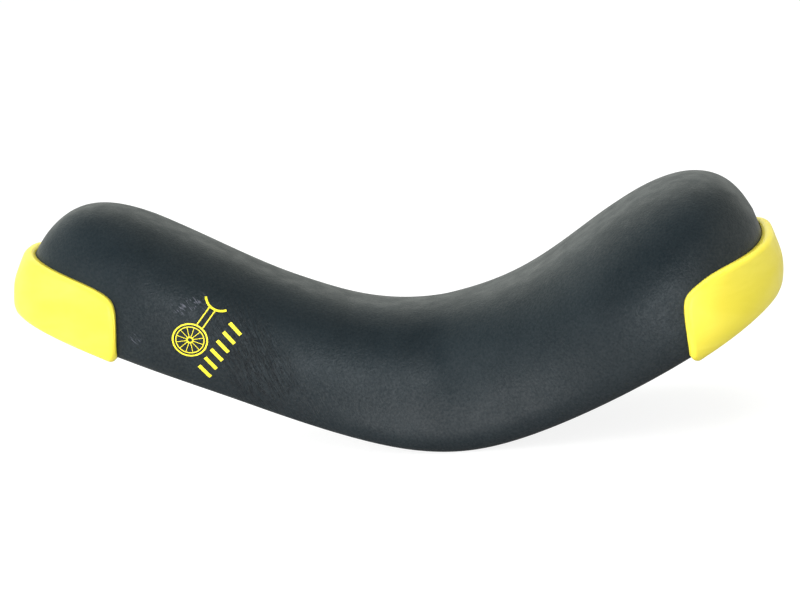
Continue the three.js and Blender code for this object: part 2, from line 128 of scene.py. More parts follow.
def rim_height(x):
    slope = by_end(x, "slope")
    reach = slope * BEND_RADIUS
    return slope * reach * (np.hypot(1, x / reach) - 1) - RECESS_DEPTH


def rim_slope(x):
    slope = by_end(x, "slope")
    reach = slope * BEND_RADIUS
    return slope * (x / reach) / np.hypot(1, x / reach)


def bend(x, y, height):
    """Points at a height above the rim line, square to it, over plan positions x, y."""
    slope = rim_slope(x)
    rise = height / np.hypot(1, slope)
    return np.stack(np.broadcast_arrays(x - slope * rise, y, rim_height(x) + rise), -1)


def lobed(x, key):
    """A quantity that changes from its waist value to each end's value."""
    value = WAIST[key]
    for end in (FRONT, REAR):
        share = smooth((end["side"] * x - end["waist_edge"]) / (end["lobe"] - end["waist_edge"]))
        value = value + (end[key] - WAIST[key]) * share
    return value


def plain_thickness(x):
    middle = np.exp(-np.abs(x / MIDDLE_CROWN["spread"]) ** MIDDLE_CROWN["power"])
    haunch = np.exp(-((x - HAUNCH["x"]) / HAUNCH["spread"]) ** 2)
    return lobed(x, "thickness") + MIDDLE_CROWN["rise"] * middle + HAUNCH["rise"] * haunch


def even_thickness():
    """Thickness along x once the crown line, crowded together in the bend, is evened out.

    The line is smoothed with a bell curve, and each station's thickness is then halved in on the
    one that reaches it."""
    step = EVENING["step"]
    x = np.arange(-FRONT["length"], REAR["length"] + step, step)
    crown = bend(x, 0.0, plain_thickness(x))
    along = np.arange(crown[0, 0], crown[-1, 0], step)
    line = np.interp(along, crown[:, 0], crown[:, 2])
    reach = int(EVENING["reach"] / step)
    weights = np.exp(-0.5 * (np.arange(-reach, reach + 1) * step / EVENING["sigma"]) ** 2)
    padded = np.pad(line, reach, mode="reflect", reflect_type="odd")
    evened = np.convolve(padded, weights / weights.sum(), "valid")
    line = mix(line, evened, np.exp(-(along / EVENING["zone"]) ** EVENING["zone_power"]))
    low, high = np.zeros_like(x), np.full_like(x, 2 * REAR["thickness"])
    for _ in range(EVENING["halvings"]):
        middle = (low + high) / 2
        point = bend(x, 0.0, middle)
        below = point[:, 2] < np.interp(point[:, 0], along, line)
        low, high = np.where(below, middle, low), np.where(below, high, middle)
    return x, low


EVEN_THICKNESS = even_thickness()


def thickness(x):
    return np.interp(x, *EVEN_THICKNESS)


class Stations:
    """Rays of the plan, from the ridge line (mid, 0) to the outline (x, y)."""

    def __init__(self, angles):
        self.angles = np.asarray(angles, float)
        along = -np.cos(self.angles)
        self.x = along * by_end(along, "length")
        n = PLAN_SQUARENESS
        width = np.maximum(0, 1 - np.abs(along) ** n) ** (1 / n)
        self.y = -np.sign(np.round(np.sin(self.angles), 12)) * lobed(self.x, "half_width") * width
        self.mid = np.clip(self.x, -FRONT["medial"] * FRONT["length"], REAR["medial"] * REAR["length"])
        self.reach = np.hypot(self.x - self.mid, self.y)
        tip = smooth((np.abs(along) - TIP_FROM) / (1 - TIP_FROM))
        self.widest = mix(WIDEST, by_end(along, "tip_widest"), tip)
        self.tuck = mix(TUCK, by_end(along, "tip_tuck"), tip)
        self.lean = by_end(along, "tip_lean") * tip
        self.fullness = 1 + TIP_FULLNESS * tip

    @property
    def edge(self):
        return self.tuck + SKIN

    def place(self, inset, height):
        """Points at an inset from the outline and a height, one for each ray."""
        share = 1 - inset / self.reach
        return bend(self.mid + (self.x - self.mid) * share, self.y * share, height)

    def shoulder(self, up, offset):
        """Inset and height of the skin above the widest level. up is 1 at the crown."""
        share = np.maximum(0, 1 - up ** (SHOULDER_RISE * self.fullness))
        share = share ** (1 / (SHOULDER_SPREAD * self.fullness))
        inset = self.reach - (self.reach - offset) * share
        top = thickness(self.mid + (self.x - self.mid) * share) - offset
        return inset, self.widest + (top - self.widest) * up

    def flank(self, height, offset):
        """Inset and height of the skin below the widest level, down to offset."""
        down = np.clip((self.widest - height) / (self.widest - offset), 0, 1)
        return self.tuck * self.tuck_curve(down) + offset, height

    def tuck_curve(self, down):
        """How much of the tuck is reached, down from the widest level: a quarter round on the
        flanks, a leaning face with a rounded foot at the tips."""
        round_foot = 1 - np.sqrt(1 - down ** TIP_FOOT)
        leaning = self.lean * down + (1 - self.lean) * round_foot
        return mix(1 - np.sqrt(1 - down * down), leaning, np.minimum(1, self.lean * LEAN_MIX))

    def skin(self, height, offset):
        """Inset and height of the skin near the rim."""
        up = np.clip((height - self.widest) / (thickness(self.x) - offset - self.widest), 0, 1)
        above, _ = self.shoulder(up, offset)
        below, _ = self.flank(height, offset)
        return np.where(height < self.widest, below, above), height


def side_angle(x, side):
    """Plan angle of the station whose outline is at x, on the left (-1) or the right (1)."""
    return -side * np.arccos(np.clip(-x / by_end(x, "length"), -1, 1))


# ---- Meshes ----

def add_object(name, data):
    obj = bpy.data.objects.new(name, data)
    bpy.context.scene.collection.objects.link(obj)
    return obj


def mesh_object(name, points, faces, weld=1e-4):
    """An object from millimetre points and faces. Points closer than weld become one."""
    keys = np.round(points / weld).astype(np.int64)
    _, first, inverse = np.unique(keys, axis=0, return_index=True, return_inverse=True)
    order = np.argsort(first)
    inverse = np.argsort(order)[inverse.ravel()]
    kept = points[first[order]]
    clean = []
    for face in faces:
        corners = inverse[list(face)]
        loop = [c for c, before in zip(corners, np.roll(corners, 1)) if c != before]
        if len(set(loop)) == len(loop) and len(loop) > 2:
            clean.append(loop)
    mesh = bpy.data.meshes.new(name)
    mesh.from_pydata((kept * MM).tolist(), [], clean)
    mesh.update()
    mesh.shade_smooth()
    return add_object(name, mesh)


def grid_faces(rows, columns, closed=True, start=0):
    """Quads between rows of points that follow one another, each row closed on itself or not."""
    r, c = np.meshgrid(np.arange(rows - 1), np.arange(columns if closed else columns - 1), indexing="ij")
    here = start + r * columns + c
    beside = start + r * columns + (c + 1) % columns
    return np.stack([here, here + columns, beside + columns, beside], -1).reshape(-1, 4).tolist()


def sheet_faces(rows, columns, start=0):
    """Faces of two open grids of points, one after the other, back to back."""
    upper = grid_faces(rows, columns, closed=False, start=start)
    lower = grid_faces(rows, columns, closed=False, start=start + rows * columns)
    return upper + [face[::-1] for face in lower]


def face_outwards(obj):
    """Turns the faces of a closed solid outwards."""
    bm = bmesh.new()
    bm.from_mesh(obj.data)
    bmesh.ops.recalc_face_normals(bm, faces=bm.faces)
    bm.to_mesh(obj.data)
    bm.free()


def ring_object(name, rings):
    """A mesh wrapped by rings of points, one after the other."""
    stack = np.stack(rings)
    return mesh_object(name, stack.reshape(-1, 3), grid_faces(len(stack), stack.shape[1]))


def mark_sharp(obj, degrees):
    """Keeps edges sharp from this angle between their faces."""
    obj.data.set_sharp_from_angle(angle=math.radians(degrees))


def use_modifier(obj, kind, **settings):
    modifier = obj.modifiers.new(kind.title(), kind)
    for key, value in settings.items():
        setattr(modifier, key, value)


def coords(mesh):
    co = np.zeros(len(mesh.vertices) * 3, np.float32)
    mesh.vertices.foreach_get("co", co)
    return co.reshape(-1, 3).astype(float)


def finish_piece(obj, body, slot, node=None):
    """Gives a piece its body and its slot's material, and puts it in the place of a CAD node."""
    obj.data.materials.clear()
    obj.data.materials.append(MATERIALS[slot])
    if node:
        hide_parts(node)
    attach(obj, body)
    return obj


# ---- Materials ----

def connect(tree, value, socket):
    """Feeds a socket from another socket, or gives it a plain value."""
    if hasattr(value, "is_output"):
        tree.links.new(value, socket)
    else:
        socket.default_value = value


def add_node(tree, kind, inputs=None, **settings):
    made = tree.nodes.new(kind)
    for key, value in settings.items():
        setattr(made, key, value)
    for key, value in (inputs or {}).items():
        connect(tree, value, made.inputs[key])
    return made


class Shader:
    """A node material whose textures are laid out in millimetres of object space."""

    def __init__(self, name):
        self.material = bpy.data.materials.new(name)
        self.material.use_nodes = True
        self.tree = self.material.node_tree
        self.surface = self.tree.nodes["Principled BSDF"]
        self.space = self.node("ShaderNodeTexCoord").outputs["Object"]

    def node(self, kind, inputs=None, **settings):
        return add_node(self.tree, kind, inputs, **settings)

    def set(self, **values):
        for key, value in values.items():
            name = key.replace("_", " ").title().replace("Ior", "IOR")
            connect(self.tree, value, self.surface.inputs[name])

    def stretched(self, size, turn=(0, 0, 0)):
        """Object space, turned, in which one unit is size millimetres along each axis."""
        turned = self.node("ShaderNodeMapping", {"Vector": self.space, "Rotation": turn})
        scale = [1 / (s * MM) for s in size]
        return self.node("ShaderNodeMapping", {"Vector": turned.outputs["Vector"], "Scale": scale}
                         ).outputs["Vector"]

    def noise(self, size, detail=3, roughness=0.55, distortion=0.0, turn=(0, 0, 0)):
        size = size if isinstance(size, tuple) else (size,) * 3
        return self.node("ShaderNodeTexNoise", {
            "Vector": self.stretched(size, turn), "Scale": 1.0, "Detail": detail,
            "Roughness": roughness, "Distortion": distortion}).outputs["Fac"]

    def cells(self, feature, vector):
        return self.node("ShaderNodeTexVoronoi", {"Vector": vector, "Scale": 1.0},
                         feature=feature).outputs["Distance"]

    def warped(self, size, amount, warp_size):
        """Object space in units of size, pushed about by a noise, so that cells aren't straight."""
        push = self.node("ShaderNodeTexNoise", {"Vector": self.stretched((warp_size,) * 3), "Scale": 1.0})
        base = self.stretched((size,) * 3)
        shift = self.times(push.outputs["Fac"], amount)
        return self.node("ShaderNodeVectorMath", {0: base, 1: shift}, operation="ADD").outputs[0]

    def times(self, a, b):
        return self.math("MULTIPLY", a, b)

    def math(self, operation, a, b=0.0):
        return self.node("ShaderNodeMath", {0: a, 1: b}, operation=operation).outputs[0]

    def span(self, value, low, high, to_low=0.0, to_high=1.0):
        return self.node("ShaderNodeMapRange", {"Value": value, "From Min": low, "From Max": high,
                         "To Min": to_low, "To Max": to_high}, clamp=True).outputs["Result"]

    def blend(self, share, a, b):
        made = self.node("ShaderNodeMix", data_type="RGBA")
        for index, value in ((0, share), (6, a), (7, b)):
            opaque = (*value, 1) if isinstance(value, tuple) else value
            connect(self.tree, opaque, made.inputs[index])
        return made.outputs[2]

    def attribute(self, name):
        return self.node("ShaderNodeAttribute", attribute_name=name).outputs["Fac"]

    def edges(self, low, high, most):
        """0 on faces, most on edges that stick out."""
        point = self.node("ShaderNodeNewGeometry").outputs["Pointiness"]
        return self.span(point, low, high, 0.0, most)

    def bump(self, *layers):
        """Bumps stacked from (height, depth in mm, strength)."""
        normal = None
        for height, depth, strength in layers:
            inputs = {"Height": height, "Distance": depth * MM, "Strength": strength}
            if normal is not None:
                inputs["Normal"] = normal
            normal = self.node("ShaderNodeBump", inputs).outputs["Normal"]
        self.tree.links.new(normal, self.surface.inputs["Normal"])


GRAIN = (0.85, 1.4, 2.2)     # the vinyl's cells: their size, and how they are pushed about


def vinyl(s):
    grain = s.cells("SMOOTH_F1", s.warped(*GRAIN))
    pores = s.noise(0.32, 2)
    cloud = s.noise(38, 3)
    crease, scuff = s.attribute("crease"), s.attribute("scuff")
    # Fine drawn lines: where a noise, stretched along the pull of the vinyl, passes its middle. They are
    # sunk by the bump and carry painted shade.
    pull = (0, math.radians(-68), 0)
    drawn = s.noise((11, 5, 0.95), 2, 0.5, 0.25, turn=pull)
    line = s.times(s.span(s.math("ABSOLUTE", s.math("SUBTRACT", drawn, 0.5)), 0.0, 0.055, 1, 0), crease)
    nicks = s.noise((3.4, 2, 0.55), 2, turn=(0, math.radians(-50), 0))
    nick = s.times(s.span(nicks, 0.56, 0.66), scuff)
    tint = s.blend(s.span(cloud, 0.35, 0.65), (0.0051, 0.0090, 0.0116), (0.0079, 0.0126, 0.0156))
    tint = s.blend(s.span(grain, 0.05, 0.5, 0.45, 0.0), tint, (0.002, 0.004, 0.006))
    # Painted shade: the fine crease lines are darkened almost to black, as if shade lay in them.
    tint = s.blend(s.times(line, 0.85), tint, (0.001, 0.002, 0.004))
    tint = s.blend(s.times(nick, 0.6), tint, (0.16, 0.16, 0.20))
    shine = s.span(s.noise(1.25, 3, 0.6), 0.32, 0.68, 0.25, 0.45)
    s.set(base_color=tint, specular_ior_level=shine, ior=1.5,
          roughness=s.span(s.noise(9, 4), 0.3, 0.7, 0.38, 0.50))
    s.bump((s.noise(9, 2), 0.5, 0.4), (s.noise(2.8, 3), 0.14, 0.5), (grain, 0.16, 0.7), (pores, 0.04, 0.5),
           (line, -0.22, 0.9), (s.times(s.span(drawn, 0.3, 0.7), crease), 0.55, 0.8),
           (nick, 0.1, 0.6))


def yellow_plastic(s):
    flow = s.noise((34, 34, 12), 3, distortion=0.6)
    scuff = s.span(s.noise((14, 0.5, 0.5), 2, turn=(0.3, 0.5, 0.4)), 0.66, 0.74)
    scratch = s.times(scuff, s.span(s.noise(22, 2), 0.50, 0.62))
    tint = s.blend(s.span(flow, 0.3, 0.7), (0.74, 0.61, 0.034), (0.80, 0.67, 0.058))
    # Painted highlight: a paler yellow on the rounded edges that stick out, where the fillets catch the
    # light.
    tint = s.blend(s.edges(0.52, 0.60, 0.35), tint, (0.80, 0.72, 0.16))
    s.set(base_color=tint, specular_ior_level=0.5, ior=1.49,
          subsurface_weight=0.12, subsurface_radius=(1.0, 0.8, 0.15), subsurface_scale=1.2 * MM,
          roughness=s.math("ADD", s.span(s.noise(6, 4), 0.3, 0.7, 0.33, 0.43), s.times(scratch, 0.18)))
    s.bump((s.noise(1.1, 2), 0.03, 0.30), (s.noise(16, 2), 0.25, 0.30), (scratch, 0.02, -0.4))


def black_plastic(s):
    spark = s.noise(0.45, 3, 0.7)
    flow = s.noise((40, 12, 20), 3, distortion=1.2)
    tint = s.blend(s.span(flow, 0.3, 0.7), (0.016, 0.017, 0.018), (0.026, 0.027, 0.029))
    tint = s.blend(s.edges(0.53, 0.62, 0.4), tint, (0.07, 0.07, 0.075))
    s.set(base_color=tint, roughness=s.span(s.noise(7, 4), 0.3, 0.7, 0.48, 0.64), specular_ior_level=0.45)
    s.bump((spark, 0.05, 0.45), (s.noise(12, 2), 0.15, 0.2))


def foam(s):
    cell = s.cells("DISTANCE_TO_EDGE", s.stretched((0.9,) * 3))
    tint = s.blend(s.noise(25, 3), (0.66, 0.60, 0.42), (0.56, 0.49, 0.31))
    tint = s.blend(s.span(cell, 0.0, 0.25, 0.0, 0.5), tint, (0.30, 0.25, 0.14))
    s.set(base_color=tint, roughness=0.95, specular_ior_level=0.1)
    s.bump((s.span(cell, 0, 0.3, 1, 0), 0.3, 0.6), (s.noise(6, 3), 0.4, 0.3))


def zinc(s):
    tone = s.noise(5, 3)
    tint = s.blend(s.span(tone, 0.35, 0.65), (0.60, 0.62, 0.65), (0.68, 0.66, 0.60))
    tint = s.blend(s.span(s.noise(1.6, 3), 0.62, 0.72, 0.0, 0.45), tint, (0.36, 0.37, 0.38))
    s.set(base_color=tint, metallic=1.0, roughness=s.span(s.noise(1.2, 4), 0.3, 0.7, 0.24, 0.40))
    s.bump((s.noise(0.5, 3), 0.02, 0.35), (s.noise(3, 2), 0.05, 0.2))


def steel(s):
    rolled = s.noise((18, 0.6, 0.6), 3)
    tint = s.blend(s.span(s.noise(6, 4), 0.3, 0.7), (0.30, 0.31, 0.32), (0.42, 0.42, 0.41))
    tint = s.blend(s.span(rolled, 0.55, 0.75, 0.0, 0.4), tint, (0.22, 0.22, 0.23))
    s.set(base_color=tint, metallic=1.0, roughness=s.span(rolled, 0.3, 0.7, 0.34, 0.5))
    s.bump((rolled, 0.02, 0.4), (s.noise(0.7, 2), 0.01, 0.3))


def yellow_print(s):
    grain = s.cells("SMOOTH_F1", s.warped(*GRAIN))
    thin = s.span(s.noise(0.5, 3), 0.60, 0.74)
    tint = s.blend(s.noise(7, 3), (0.76, 0.66, 0.03), (0.68, 0.56, 0.02))
    tint = s.blend(s.times(thin, 0.55), tint, (0.20, 0.17, 0.02))
    s.set(base_color=tint, roughness=s.span(s.noise(2, 3), 0.3, 0.7, 0.38, 0.5), specular_ior_level=0.4)
    s.bump((grain, 0.06, 0.35))


def painted(paint):
    """The material whose nodes a function above lays out."""
    s = Shader(paint.__name__)
    paint(s)
    return s.material


PAINTS = (vinyl, yellow_plastic, black_plastic, foam, zinc, steel, yellow_print)
MATERIALS = {paint.__name__: painted(paint) for paint in PAINTS}


# ---- Creases of the vinyl ----

# Plan angles of the cover's rays: close together where the creases are, on both sides alike.
CREASED = dict(start=-150, end=-78, spacing=0.55)
PLAIN_RAYS = dict(front=56, rear=150)


def ray_angles():
    """Plan angles from the front tip to the rear tip and back, the same on both sides."""
    count = int((CREASED["end"] - CREASED["start"]) / CREASED["spacing"])
    creased = np.arccos(-np.linspace(CREASED["start"], CREASED["end"], count) / FRONT["length"])
    one_side = np.concatenate([
        np.linspace(0, creased[0], PLAIN_RAYS["front"], endpoint=False),
        creased,
        np.linspace(creased[-1], np.pi, PLAIN_RAYS["rear"])[1:],
    ])
    return np.concatenate([one_side, 2 * np.pi - one_side[-2:0:-1]])


# Groups of fine creases where the vinyl is drawn round the front of the pad. spread is along and
# across the creases. The ranges are shares of a group's length, width and depth.
CREASE_GROUPS = (
    dict(centre=(-101, 20), spread=(3, 15), count=15, length=14, width=0.75, depth=0.09, turn=-46,
         jitter=0.5),
    dict(centre=(-112, 38), spread=(2, 8), count=7, length=5, width=0.7, depth=0.06, turn=-50,
         jitter=0.4),
    dict(centre=(-154, 14), spread=(0.8, 1.6), count=3, length=2.2, width=0.7, depth=0.12, turn=-62,
         jitter=0.2),
)
CREASE_RANGE = dict(turn=(0, 4), length=(0.6, 1.2), width=(0.7, 1.3), depth=(0.5, 1.2), bow=(0.002, 0.002))
CREASE_BANK = dict(width=2.2, rise=0.75, cut=1.35)


def crease_group(centre, spread, count, length, width, depth, turn, jitter):
    """Creases as rows of (x, height, direction, half length, half width, depth, bow)."""
    rows = []
    for i in range(count):
        across = (i / max(1, count - 1) - 0.5) * 2 * spread[1] + rng.normal(0, jitter)
        along = rng.normal(0, spread[0])
        heading = math.radians(turn + rng.normal(*CREASE_RANGE["turn"]))
        rows.append((
            centre[0] + along * math.cos(heading) - across * math.sin(heading),
            centre[1] + along * math.sin(heading) + across * math.cos(heading),
            heading,
            length * rng.uniform(*CREASE_RANGE["length"]),
            width * rng.uniform(*CREASE_RANGE["width"]),
            depth * rng.uniform(*CREASE_RANGE["depth"]),
            rng.normal(*CREASE_RANGE["bow"]),
        ))
    return rows


CREASES = [crease for group in CREASE_GROUPS for crease in crease_group(**group)]

# Zones of fine lines, which get painted shade, and of pale nicks, as (x, height, half length, half width,
# direction, strength).
CREASE_ZONES = ((-99, 19, 23, 15, -46, 1.0), (-116, 33, 12, 14, -46, 0.6), (-76, 9, 14, 9, -48, 0.45),
                (-134, 22, 14, 10, -52, 0.3))
SCUFF_ZONES = ((-136, 38, 3.5, 7, -58, 1.0), (-153.5, 13.5, 2.2, 2.0, -62, 1.0))


def turned_axes(dx, dh, heading):
    """Distances along a heading and across it."""
    c, s = math.cos(heading), math.sin(heading)
    return dx * c + dh * s, -dx * s + dh * c


def zone_field(zones, x, height):
    """0 to 1 where the zones are."""
    field = np.zeros_like(x)
    for cx, ch, half, width, turn, strength in zones:
        along, across = turned_axes(x - cx, height - ch, math.radians(turn))
        edge = np.exp(-((along / half) ** 4) - (across / width) ** 4)
        field = np.maximum(field, strength * edge)
    return field


def crease_field(x, height):
    """Displacement of the vinyl in millimetres at plan x and height."""
    rise = np.zeros_like(x)
    for cx, ch, heading, half, width, depth, bow in CREASES:
        along, across = turned_axes(x - cx, height - ch, heading)
        across = (across - bow * along ** 2) / width
        end = np.exp(-(along / half) ** 4)
        line = np.exp(-across ** 2) * end
        bank = np.exp(-(across / CREASE_BANK["width"]) ** 2) * end
        rise += depth * (CREASE_BANK["rise"] * bank - CREASE_BANK["cut"] * line)
    return rise


# ---- Seat cover ----

# Steps on the crown, the shoulder and the flank, outside and inside.
OUTSIDE_STEPS, INSIDE_STEPS = (34, 52, 18), (8, 6, 4)
SHOULDER_TURN = 0.745      # where the levels get closer together, as a turn from the widest level
HEM_STEPS = 6
HEM_WAVES = ((0.35, 32, 1), (0.35, 14, -1), (0.4, 51, 2))      # depth, count, phase
FAR_SIDE_SHIFT = 5         # of the creases, so that the far side isn't a mirror copy


def cover_levels(crown, shoulder, flank):
    """Levels from the crown (above 0) through the widest level (0) to the bottom edge (-1)."""
    top = np.sin(np.concatenate([
        np.linspace(np.pi / 2, SHOULDER_TURN, crown, endpoint=False),
        np.linspace(SHOULDER_TURN, 0, shoulder, endpoint=False),
    ]))
    return np.concatenate([top, -np.linspace(0, 1, flank)])


def cover_profile(at, level, offset):
    """Inset and height at a level of the cover, as cover_levels gives it."""
    if level > 0:
        return at.shoulder(level, offset)
    down = np.sin(-level * np.pi / 2)
    return at.tuck * at.tuck_curve(down) + offset, at.widest - (at.widest - offset) * down


def hem_wave(at):
    """Uneven trimmed edge of the turned-under vinyl."""
    return sum(depth * np.sin(at.angles * count + phase) for depth, count, phase in HEM_WAVES)


def outside_rings(at, levels):
    rings, heights = [], []
    for level in levels:
        inset, height = cover_profile(at, level, 0)
        rings.append(at.place(inset, height))
        heights.append(np.broadcast_to(height, inset.shape))
    for step in np.linspace(0, 1, HEM_STEPS + 1)[1:]:
        inset = at.tuck + (HEM + hem_wave(at)) * step
        rings.append(at.place(inset, np.zeros_like(inset)))
        heights.append(np.zeros_like(inset))
    return np.stack(rings), np.stack(heights)


def ring_normals(rings):
    """Unit normals, pointing out, of a stack of closed rings."""
    across = np.roll(rings, -1, 1) - np.roll(rings, 1, 1)
    down = np.empty_like(rings)
    down[1:-1] = rings[2:] - rings[:-2]
    down[0], down[-1] = rings[1] - rings[0], rings[-1] - rings[-2]
    normal = np.cross(down, across)
    length = np.linalg.norm(normal, axis=-1, keepdims=True)
    return normal / np.maximum(length, 1e-9)


# Cloth run: a coarse copy of the cover swells over the foam, held along its stapled hem. What is
# kept is how far each place swells beyond the middle value, up to a cap, ironed smooth and calmed
# in the bend, along the ridge and under the bumpers.
CLOTH = dict(rays=120, levels=(14, 14, 6), frames=20, cap=0.8, share=0.5, held_below=1, free_above=11,
             ironing=3, bend_calm=0.9, bend_reach=45, ridge_calm=0.7)
CLOTH_SETTINGS = dict(quality=5, mass=0.25, tension_stiffness=20, compression_stiffness=20,
                      shear_stiffness=8, bending_stiffness=1.5, use_pressure=True,
                      uniform_pressure_force=4.0, vertex_group_mass="hold")
PRESSED = dict(margin=4, fade=8)


def held_share(heights):
    """1 at the stapled hem, 0 where the vinyl is free to swell."""
    low, high = CLOTH["held_below"], CLOTH["free_above"]
    return 1 - smooth((heights - low) / (high - low))


def cloth_swell():
    """The capped swell of each coarse point, in millimetres."""
    at = Stations(np.arange(CLOTH["rays"]) / CLOTH["rays"] * 2 * np.pi)
    levels = cover_levels(*CLOTH["levels"])
    rings, heights = outside_rings(at, levels)
    rows, columns = rings.shape[:2]
    flat = rings.reshape(-1, 3)
    normals = ring_normals(rings).reshape(-1, 3)
    sheet = mesh_object("cloth_sheet", flat, grid_faces(rows, columns), weld=1e-3)
    here = coords(sheet.data) / MM
    hold = sheet.vertex_groups.new(name="hold")
    for i, weight in enumerate(held_share(heights.ravel()[nearest_index(here, flat)])):
        hold.add([i], float(weight), "REPLACE")
    cloth = sheet.modifiers.new("Cloth", "CLOTH")
    for key, value in CLOTH_SETTINGS.items():
        setattr(cloth.settings, key, value)
    cloth.settings.effector_weights.gravity = 0
    cloth.point_cache.frame_start, cloth.point_cache.frame_end = 1, CLOTH["frames"]
    for number in range(1, CLOTH["frames"] + 1):
        bpy.context.scene.frame_set(number)
    graph = bpy.context.evaluated_depsgraph_get()
    moved = coords(sheet.evaluated_get(graph).data) / MM
    bpy.context.scene.frame_set(1)
    shift = ((moved - here)[nearest_index(flat, here)] * normals).sum(-1)
    bpy.data.objects.remove(sheet)
    free = 1 - held_share(heights.ravel())
    beyond = shift - np.median(shift[free == 1])
    swell = CLOTH["cap"] * np.tanh(CLOTH["share"] * beyond / CLOTH["cap"]) * free
    swell = swell.reshape(rows, columns)
    for _ in range(CLOTH["ironing"]):
        swell = (np.roll(swell, 1, 1) + 2 * swell + np.roll(swell, -1, 1)) / 4
        swell[1:-1] = (swell[:-2] + 2 * swell[1:-1] + swell[2:]) / 4
    return swell * (1 - CLOTH["bend_calm"] * np.exp(-(at.mid / CLOTH["bend_reach"]) ** 2))


def nearest_index(points, targets):
    """Index of the target nearest to each point."""
    tree = KDTree(len(targets))
    for i, target in enumerate(targets):
        tree.insert(target, i)
    tree.balance()
    return np.array([tree.find(p)[1] for p in points])


def spread_swell(swell, at):
    """The coarse swell read at the fine cover's rays and levels."""
    coarse_rows = len(swell) - HEM_STEPS
    coarse_levels = cover_levels(*CLOTH["levels"])
    fine_levels = cover_levels(*OUTSIDE_STEPS)
    row = np.interp(-fine_levels, -coarse_levels, np.arange(coarse_rows))
    row = np.concatenate([row, coarse_rows - 1 + np.arange(1, HEM_STEPS + 1)])
    column = at.angles / (2 * np.pi) * CLOTH["rays"]
    rows = spline_weights(row, len(swell), wrap=False)
    columns = spline_weights(column, CLOTH["rays"], wrap=True)
    return rows @ swell @ columns.T


def spline_weights(place, count, wrap):
    """Weights of count values at each place on a smooth cubic curve through their neighbourhood."""
    base = np.floor(place).astype(int)
    t = place - base
    parts = ((1 - t) ** 3, 3 * t ** 3 - 6 * t ** 2 + 4, -3 * t ** 3 + 3 * t ** 2 + 3 * t + 1, t ** 3)
    weights = np.zeros((len(place), count))
    for step, part in zip((-1, 0, 1, 2), parts):
        index = (base + step) % count if wrap else np.clip(base + step, 0, count - 1)
        np.add.at(weights, (np.arange(len(place)), index), part / 6)
    return weights


def under_bumper(at, heights):
    """1 where a bumper presses on the cover, fading to 0 above its edge."""
    pressed = np.zeros(heights.shape)
    for end in (FRONT, REAR):
        inside = smooth((end["side"] * at.x - end["wing_end"] + PRESSED["margin"]) / PRESSED["fade"])
        above = (heights - BUMPER["top"] - PRESSED["margin"]) / PRESSED["fade"]
        pressed = np.maximum(pressed, inside * (1 - smooth(above)))
    return pressed


def seat_cover():
    """The vinyl: creased, swollen by the cloth run, and turned under with its thickness."""
    at = Stations(ray_angles())
    levels = cover_levels(*OUTSIDE_STEPS)
    rings, heights = outside_rings(at, levels)
    normals = ring_normals(rings)
    x = np.broadcast_to(at.x - np.where(at.y > 0, FAR_SIDE_SHIFT, 0.0), heights.shape)
    rise = crease_field(x, heights)
    outward = np.ones(len(rings))
    outward[:len(levels)] = (1 - np.maximum(levels, 0) ** SHOULDER_RISE) ** (1 / SHOULDER_SPREAD)
    fade = smooth(outward / CLOTH["ridge_calm"])
    rise = rise + spread_swell(cloth_swell(), at) * (1 - under_bumper(at, heights))
    rings = rings + normals * (rise * fade[:, None])[..., None]
    inner = [at.place(*cover_profile(at, level, COVER)) for level in cover_levels(*INSIDE_STEPS)]
    end = at.place(at.tuck + HEM + hem_wave(at), np.full_like(at.x, COVER))
    obj = ring_object("vinyl_cover", [*rings, end, *inner[::-1]])
    index = nearest_index(coords(obj.data) / MM, rings.reshape(-1, 3))
    for name, zones in (("crease", CREASE_ZONES), ("scuff", SCUFF_ZONES)):
        values = zone_field(zones, x, heights).ravel()[index].astype(np.float32)
        obj.data.attributes.new(name, "FLOAT", "POINT").data.foreach_set("value", values)
    return finish_piece(obj, "root", "vinyl", "seat_cover")


# ---- Foam ----

FOAM = dict(rays=180, steps=(16, 16, 8), under_steps=(0.0, 0.02, 0.25, 0.5, 0.75, 1.0), gap=0.8,
            seat_inset=3.4, seat_round=0.6, roof_gap=1, roof_margin=14, roof_fade=12, roof_starts=0.25)


def foam_cushion():
    """The foam: the cover's shape inside its skin, hollow underneath where the base's pan is."""
    at = Stations(np.linspace(0, 2 * np.pi, FOAM["rays"], endpoint=False))
    levels = cover_levels(*FOAM["steps"])
    outer = []
    for level in levels:
        inset, height = cover_profile(at, level, SKIN)
        outer.append(at.place(inset, np.maximum(height, FLANGE["top"])))
    top = PAN_TOP + FOAM["gap"]
    inner_edge = at.edge + FLANGE["width"] - FOAM["seat_inset"]

    def roof(x):
        """Height of the hollow's top, which clears the platform in the middle."""
        over = PLATFORM["top"] + FOAM["roof_gap"] - rim_height(x)
        inside = smooth((PLATFORM["half_length"] + FOAM["roof_margin"] - np.abs(x)) / FOAM["roof_fade"])
        return mix(top, np.maximum(top, over), inside)

    under = [at.place(inner_edge, np.full_like(at.x, FLANGE["top"]))]
    for share in FOAM["under_steps"]:
        inset = mix(inner_edge + FOAM["seat_round"], at.reach, share)
        x = at.mid + (at.x - at.mid) * (1 - inset / at.reach)
        height = mix(top, roof(x), smooth(share / FOAM["roof_starts"]))
        under.append(at.place(inset, np.broadcast_to(height, at.x.shape)))
    finish_piece(ring_object("foam_cushion", outer + under), "root", "foam", "foam_pad")


# ---- Bumpers ----

BUMPER_FINE = dict(rays=170, face=46, lip=18, fillet=3.2, lip_rise=12)
TIP_DIP_FROM = 0.82
INSIDE_RISE = 10       # from the height of a bumper's top edge to a point inside the pad


def bumper_top(at, end):
    """Height of the bumper's top edge: a slanted wing end, a rounded corner, a dip at the tip."""
    slant = BUMPER["wing_top"] + end["wing_climb"] * (np.abs(at.x) - end["wing_end"])
    middle, half = (slant + BUMPER["top"]) / 2, (slant - BUMPER["top"]) / 2
    return middle - np.hypot(half, end["wing_corner"]) - end["tip_dip"] * tip_share(at)


